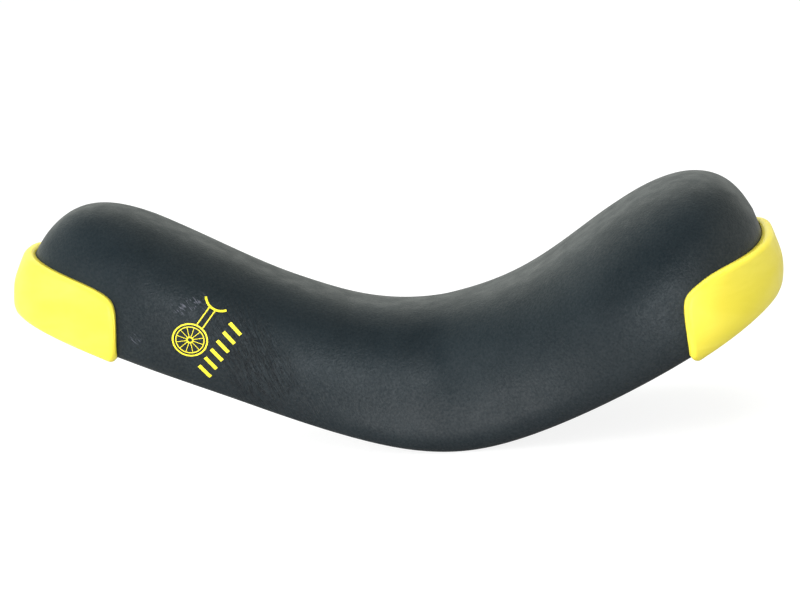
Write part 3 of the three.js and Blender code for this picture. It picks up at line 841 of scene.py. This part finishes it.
def tip_share(at):
    """0 on the flanks, 1 at the tip of the plan."""
    return smooth((np.abs(np.cos(at.angles)) - TIP_DIP_FROM) / (1 - TIP_DIP_FROM))


def bumper_sheet(at, top, offset):
    """Rows of points from the bumper's top edge down its face and under to the lip's end,
    and their heights."""
    rows, heights = [], []
    for share in np.linspace(0, 1, BUMPER_FINE["face"]):
        heights.append(mix(top, offset, share))
        rows.append(at.place(*at.skin(heights[-1], offset)))
    start = at.tuck + offset
    end = at.edge + BUMPER["lip"]
    for share in np.linspace(0, 1, BUMPER_FINE["lip"] + 1)[1:]:
        heights.append(np.full_like(at.x, offset))
        rows.append(at.place(mix(start, end, share), heights[-1]))
    return np.stack(rows), np.stack(heights)


def bumper(name, node, end):
    """A bumper round an end: a shell on the pad's skin whose border is rounded over."""
    tip = 0 if end["side"] < 0 else np.pi
    spread = np.arccos(end["wing_end"] / end["length"])
    half = np.linspace(0, 1, BUMPER_FINE["rays"] // 2 + 1)
    eased = np.sin(half * np.pi / 2)                     # rays get closer towards the wing ends
    turns = spread * np.concatenate([-eased[:0:-1], eased])
    at = Stations(tip + turns)
    inner, heights = bumper_sheet(at, bumper_top(at, end), -BUMPER["inside"])
    normals = open_normals(inner)
    border = np.concatenate([inner[0], inner[-1], inner[:, 0], inner[:, -1]])
    distance = border_distance(inner.reshape(-1, 3), border).reshape(inner.shape[:2])
    near = np.clip(distance / BUMPER_FINE["fillet"], 0, 1)
    wall = (BUMPER["outside"] - BUMPER["inside"]
            + BUMPER["tip_wall"] * tip_share(at) * smooth(heights / BUMPER_FINE["lip_rise"]))
    outer = inner + normals * (wall * np.sqrt(1 - (1 - near) ** 2))[..., None]
    points = np.concatenate([outer.reshape(-1, 3), inner.reshape(-1, 3)])
    obj = mesh_object(name, points, sheet_faces(*inner.shape[:2]))
    face_outwards(obj)
    finish_piece(obj, "root", "yellow_plastic", node)


def open_normals(rows):
    """Unit normals of an open sheet of points, away from the pad."""
    normal = np.cross(np.gradient(rows, axis=0), np.gradient(rows, axis=1))
    normal /= np.maximum(np.linalg.norm(normal, axis=-1, keepdims=True), 1e-9)
    inside = np.array([rows[..., 0].mean(), 0, rows[0, :, 2].mean() + INSIDE_RISE])
    return normal if (normal[0] * (rows[0] - inside)).sum() > 0 else -normal


def border_distance(points, border):
    """Distance from each point to the nearest point of the border."""
    index = nearest_index(points, border)
    return np.linalg.norm(points - border[index], axis=-1)


# ---- Bolts ----

# flat is a ring on the head's top that keeps its shading flat.
HEAD = dict(rays=96, flat=3.35, face=0.97, chamfer_from=0.96, chamfer_slope=0.58, foot=0.25,
            foot_inset=0.2, under=0.62, sharp=32)
THREAD = dict(steps=8, steepness=1.15, crest=0.07, start=1.0, start_fade=1.5, point=1.4, point_depth=1.3)


def hex_bolt(name, node, body):
    """A hexagon bolt with a chamfered head and a rolled thread, standing in its CAD bolt's place."""
    low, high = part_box(node)
    centre = (low + high) / 2 / MM
    seat = low.z / MM + BOLT["head"]
    flats = BOLT["across_flats"] / 2
    count = HEAD["rays"]
    angle = np.arange(count) / count * 2 * np.pi
    corner = flats / np.cos((angle + np.pi / 6) % (np.pi / 3) - np.pi / 6)

    def circle(radius, z):
        return np.stack(np.broadcast_arrays(radius * np.cos(angle), radius * np.sin(angle), z), -1)

    top = -BOLT["head"]
    face = np.minimum(corner, flats * HEAD["face"])
    chamfer = top + np.maximum(0, corner - flats * HEAD["chamfer_from"]) * HEAD["chamfer_slope"]
    rings = [circle(radius, top) for radius in (0.0, HEAD["flat"], face)]
    rings += [circle(corner, z) for z in (chamfer, -HEAD["foot"])]
    rings += [circle(radius, 0.0) for radius in (corner - HEAD["foot_inset"], flats * HEAD["under"])]
    pitch, depth = BOLT["pitch"], BOLT["thread_depth"]
    steps = int(BOLT["length"] / pitch * THREAD["steps"])
    for z in np.linspace(0.0, BOLT["length"], steps + 1):
        phase = np.abs(((z / pitch - angle / (2 * np.pi)) % 1) - 0.5) * 2
        thread = depth * np.clip(phase * THREAD["steepness"] - THREAD["crest"], 0, 1)
        start = smooth((z - THREAD["start"]) / THREAD["start_fade"])
        tip = smooth((z - (BOLT["length"] - THREAD["point"])) / THREAD["point"])
        cut = mix(thread * start, depth * THREAD["point_depth"], tip)
        rings.append(circle(BOLT["radius"] - cut, z))
    rings.append(circle(0.0, BOLT["length"]))
    obj = ring_object(name, np.stack(rings) + np.array([centre.x, centre.y, seat]))
    face_outwards(obj)
    mark_sharp(obj, HEAD["sharp"])
    finish_piece(obj, body, "zinc", node)


# ---- Print on the flank ----

PRINT = dict(x=-121.5, height=24.5, turn=75.0, raised=0.09, sunk=0.15, sharp=40)
# The picture's own axes: first up the print, second across it towards the front.
WHEEL = dict(centre=(-4.5, 8.3), rings=((7.6, 0.75), (6.2, 0.45), (1.3, 0.7)), spokes=12,
             spoke_start=1.3, spoke_end=6.1, spoke_width=0.3)
FORK = dict(start=7.9, half_width=1.5, end=14.2, width=0.6)
SADDLE = dict(centre=20.5, radius=7.0, start=128, end=232, width=1.0)
BARS = dict(count=6, first=-14.5, spacing=5.0, slant=1.8, low=-8.6, high=-1.6, width=1.7)


def strip(points, width):
    """A ribbon of the given width along a line of points, as left and right edges."""
    points = np.asarray(points, float)
    tangent = np.gradient(points, axis=0)
    tangent /= np.linalg.norm(tangent, axis=1, keepdims=True)
    side = np.stack([-tangent[:, 1], tangent[:, 0]], -1) * width / 2
    return points + side, points - side


def circle_line(centre, radius, start=0.0, end=360.0, step=4.0):
    angles = np.radians(np.linspace(start, end, max(3, int(abs(end - start) / step) + 1)))
    return np.stack([centre[0] + radius * np.cos(angles), centre[1] + radius * np.sin(angles)], -1)


def straight(a, b, step=0.6):
    a, b = np.asarray(a, float), np.asarray(b, float)
    count = max(2, int(np.linalg.norm(b - a) / step) + 1)
    return a + (b - a) * np.linspace(0, 1, count)[:, None]


def emblem_lines():
    """Strokes of a plain unicycle and a row of bars, as (line, width) in millimetres."""
    wheel = np.array(WHEEL["centre"])
    strokes = [(circle_line(wheel, radius), width) for radius, width in WHEEL["rings"]]
    for i in range(WHEEL["spokes"]):
        a = (i + 0.5) / WHEEL["spokes"] * 2 * math.pi
        way = np.array([math.cos(a), math.sin(a)])
        spoke = straight(wheel + way * WHEEL["spoke_start"], wheel + way * WHEEL["spoke_end"])
        strokes.append((spoke, WHEEL["spoke_width"]))
    for side in (-1, 1):
        across = wheel[1] + side * FORK["half_width"]
        leg = straight((wheel[0] + FORK["start"], across), (FORK["end"], across))
        strokes.append((leg, FORK["width"]))
    seat = circle_line((SADDLE["centre"], wheel[1]), SADDLE["radius"], SADDLE["start"], SADDLE["end"])
    strokes.append((seat, SADDLE["width"]))
    for i in range(BARS["count"]):
        low = BARS["first"] + i * BARS["spacing"]
        bar = straight((low, BARS["low"]), (low + BARS["slant"], BARS["high"]))
        strokes.append((bar, BARS["width"]))
    return strokes


def grid_border(rows, columns):
    """Indices of a grid's points once round its border."""
    first = [r * columns for r in range(rows)]
    last = [(rows - 1) * columns + c for c in range(1, columns)]
    back = [r * columns + columns - 1 for r in range(rows - 2, -1, -1)]
    return first + last + back + list(range(columns - 2, 0, -1))


def side_print(name, side, cover_tree):
    """The print as a thin layer of ink that follows the cover on one side."""
    turn = math.radians(PRINT["turn"])
    along = np.array([math.cos(turn), math.sin(turn)])
    across = np.array([-math.sin(turn), math.cos(turn)])
    points, faces = [], []
    for line, width in emblem_lines():
        left, right = strip(line, width)
        flat = np.stack([left, (left + right) / 2, right], 1)
        plan = np.array([PRINT["x"], PRINT["height"]]) + flat[..., :1] * along + flat[..., 1:] * across
        surface = skin_points(plan[..., 0].ravel(), plan[..., 1].ravel(), side)
        top, bottom = [], []
        for p in surface:
            place, normal, _, _ = cover_tree.find_nearest(Vector(p) * MM)
            place, normal = np.array(place) / MM, np.array(normal)
            top.append(place + normal * PRINT["raised"])
            bottom.append(place - normal * PRINT["sunk"])
        start = len(points)
        rows, columns = flat.shape[:2]
        count = rows * columns
        points += top + bottom
        faces += sheet_faces(rows, columns, start)
        border = grid_border(rows, columns)
        for a, b in zip(border, border[1:] + border[:1]):
            faces.append([start + a, start + b, start + b + count, start + a + count])
    obj = mesh_object(name, np.array(points), faces, weld=1e-5)
    face_outwards(obj)
    mark_sharp(obj, PRINT["sharp"])
    finish_piece(obj, "root", "yellow_print")


def skin_points(x, height, side):
    """Points of the skin at plan x and height on one side."""
    at = Stations(side_angle(x, side))
    return at.place(*at.skin(height, 0))


# ---- CAD nodes that stay ----

BEVEL_SHARP, BEVEL_STEPS = 34, 2      # degrees between faces from which an edge is rounded, and steps
BEVELS = dict(seat_base=0.35, stiffener_plate=0.4, captive_nut=0.5, mount_washer=0.25,
              bumper_screw=0.2, cover_staple=0.12)


def keep_cad_nodes():
    """Gives the CAD nodes that no piece replaces their materials and rounded edges."""
    slots = {part["node"]: part["material_slot"] for part in frame["record"]["subparts"]}
    for name, node in frame["nodes"].items():
        if node.hide_render:
            continue
        node.data.materials.clear()
        node.data.materials.append(MATERIALS[slots[name]])
        width = next(w for key, w in BEVELS.items() if key in name)
        use_modifier(node, "BEVEL", width=width * MM, segments=BEVEL_STEPS, limit_method="ANGLE",
                     angle_limit=math.radians(BEVEL_SHARP), harden_normals=False)
        node.data.shade_smooth()
        use_modifier(node, "WEIGHTED_NORMAL", keep_sharp=True)


# ---- Stage (in metres) ----

# Camera of a packshot: a long lens a little above the saddle, slightly rolled. Its distance and
# target are in millimetres.
CAMERA = dict(azimuth=5.008, elevation=11.66, roll=-6.043, distance=1350, lens=123.0, sensor=36,
              target=(-22.38, 0, 48.18))

# Soft lights. Reflections show only the front one.
LIGHTS = (
    dict(name="top_softbox", size=(1.8, 1.8), energy=26, place=(0, 0.2, 1.6), target=(0, 0, 0.05)),
    dict(name="left_softbox", size=(0.9, 0.9), energy=44, place=(-1.2, -1.0, 0.6),
         target=(-0.15, 0, 0.05)),
    dict(name="front_softbox", size=(1.0, 0.8), energy=8, place=(0.25, -1.5, 0.35),
         target=(0, 0, 0.05), colour=(0.86, 0.93, 1.0), reflected=True),
)

# The floor. pale is as it lights the saddle and as the camera sees it, and glow is for the camera.
FLOOR = dict(half_size=8, below=0.0005, pale=(0.50, 0.20), glow=0.86)
# A lit patch of the floor in front of the saddle, for its lower flank.
BOUNCE = dict(centre=(-0.018, -0.115), inner=0.015, outer=0.066, bright=2.9)

# Brightness and colour of the studio round the object, and the patches where it is dimmer: high
# in front, on the left in front, and high at the back on the right. start and end are cosines of
# the angle from the patch's middle, and dim is what is left of the brightness there.
SWEEP = dict(strength=1.10, colour=(0.96, 1.0, 0.93, 1))
DIM_PATCHES = (
    dict(toward=(0, -0.342, 0.940), start=0.50, end=0.93, dim=0.15),
    dict(toward=(-0.74, -0.665, 0.10), start=0.55, end=0.96, dim=0.42),
    dict(toward=(0.54, 0.63, 0.56), start=0.76, end=0.98, dim=0.52),
)


def area_light(name, size, energy, place, target, colour=(1, 1, 1), reflected=False):
    data = bpy.data.lights.new(name, "AREA")
    data.shape = "RECTANGLE"
    data.size, data.size_y = size
    data.energy = energy
    data.color = colour
    light = add_object(name, data)
    light.location = place
    light.rotation_euler = (Vector(target) - Vector(place)).to_track_quat("-Z", "Y").to_euler()
    light.visible_glossy = reflected


def smooth_fall(tree, value, start, end, from_level, to_level):
    """A socket that goes smoothly from one level to another as value goes from start to end."""
    return add_node(tree, "ShaderNodeMapRange", {
        "Value": value, "From Min": start, "From Max": end, "To Min": from_level, "To Max": to_level,
    }, interpolation_type="SMOOTHSTEP").outputs["Result"]


def bounce_glow(tree, level):
    """Brightness of the lit patch, by the distance from its centre."""
    place = add_node(tree, "ShaderNodeNewGeometry").outputs["Position"]
    away = add_node(tree, "ShaderNodeVectorMath", {0: place, 1: (*BOUNCE["centre"], level)},
                    operation="DISTANCE").outputs["Value"]
    return smooth_fall(tree, away, BOUNCE["inner"], BOUNCE["outer"], BOUNCE["bright"], 0)


def floor(level):
    """A pale floor that is clear from below, so that the underside can be looked at."""
    mesh = bpy.data.meshes.new("floor")
    bm = bmesh.new()
    bmesh.ops.create_grid(bm, x_segments=8, y_segments=8, size=FLOOR["half_size"])
    bm.to_mesh(mesh)
    bm.free()
    s = Shader("floor")
    seen = s.node("ShaderNodeLightPath").outputs["Is Camera Ray"]
    s.set(base_color=s.span(seen, 0, 1, *FLOOR["pale"]), emission_color=(1, 1, 1, 1),
          emission_strength=s.span(seen, 0, 1, bounce_glow(s.tree, level), FLOOR["glow"]),
          roughness=0.9, specular_ior_level=0.1)
    below = s.node("ShaderNodeNewGeometry").outputs["Backfacing"]
    clear = s.node("ShaderNodeBsdfTransparent").outputs[0]
    blend = s.node("ShaderNodeMixShader", {0: below, 1: s.surface.outputs[0], 2: clear})
    connect(s.tree, blend.outputs[0], s.tree.nodes["Material Output"].inputs["Surface"])
    mesh.materials.append(s.material)
    obj = add_object("floor", mesh)
    obj.location.z = level


def dimmed(tree, direction, strength, patch):
    """The strength, a number or a socket, with a patch of the studio dimmed."""
    angle = add_node(tree, "ShaderNodeVectorMath", {0: direction, 1: patch["toward"]},
                     operation="DOT_PRODUCT").outputs["Value"]
    fall = smooth_fall(tree, angle, patch["start"], patch["end"], 1, patch["dim"])
    return add_node(tree, "ShaderNodeMath", {0: fall, 1: strength}, operation="MULTIPLY").outputs[0]


def studio():
    """The light that comes from all round, dimmed in patches, and the soft lights."""
    scene = bpy.context.scene
    scene.view_settings.view_transform = "Standard"
    world = bpy.data.worlds.new("studio")
    scene.world = world
    world.use_nodes = True
    tree = world.node_tree
    background = tree.nodes["Background"]
    direction = add_node(tree, "ShaderNodeTexCoord").outputs["Generated"]
    strength = SWEEP["strength"]
    for patch in DIM_PATCHES:
        strength = dimmed(tree, direction, strength, patch)
    connect(tree, strength, background.inputs["Strength"])
    connect(tree, SWEEP["colour"], background.inputs["Color"])
    for light in LIGHTS:
        area_light(**light)


def camera():
    azimuth, elevation, roll = (math.radians(CAMERA[key]) for key in ("azimuth", "elevation", "roll"))
    turn = (Matrix.Rotation(azimuth, 4, "Z") @ Matrix.Rotation(math.pi / 2 - elevation, 4, "X")
            @ Matrix.Rotation(roll, 4, "Z"))
    data = bpy.data.cameras.new("camera")
    data.lens = CAMERA["lens"]
    data.sensor_width = CAMERA["sensor"]
    obj = add_object("camera", data)
    target = Matrix.Translation(Vector(CAMERA["target"]) * MM)
    obj.matrix_world = target @ turn @ Matrix.Translation((0, 0, CAMERA["distance"] * MM))
    bpy.context.scene.camera = obj


# ---- Assembly ----

cover = seat_cover()
cover_tree = BVHTree.FromPolygons([v.co for v in cover.data.vertices],
                                  [p.vertices for p in cover.data.polygons])
side_print("print_left", -1, cover_tree)
side_print("print_right", 1, cover_tree)
foam_cushion()
bumper("front_guard", "front_bumper", FRONT)
bumper("rear_guard", "rear_bumper", REAR)
for end in ("front", "rear"):
    for side in ("left", "right"):
        place = f"{end}_{side}"
        hex_bolt(f"hex_bolt_{place}", f"mount_bolt_{place}", f"bolt_{place}")
keep_cad_nodes()
floor(cad_box[0].z - FLOOR["below"])
studio()
camera()
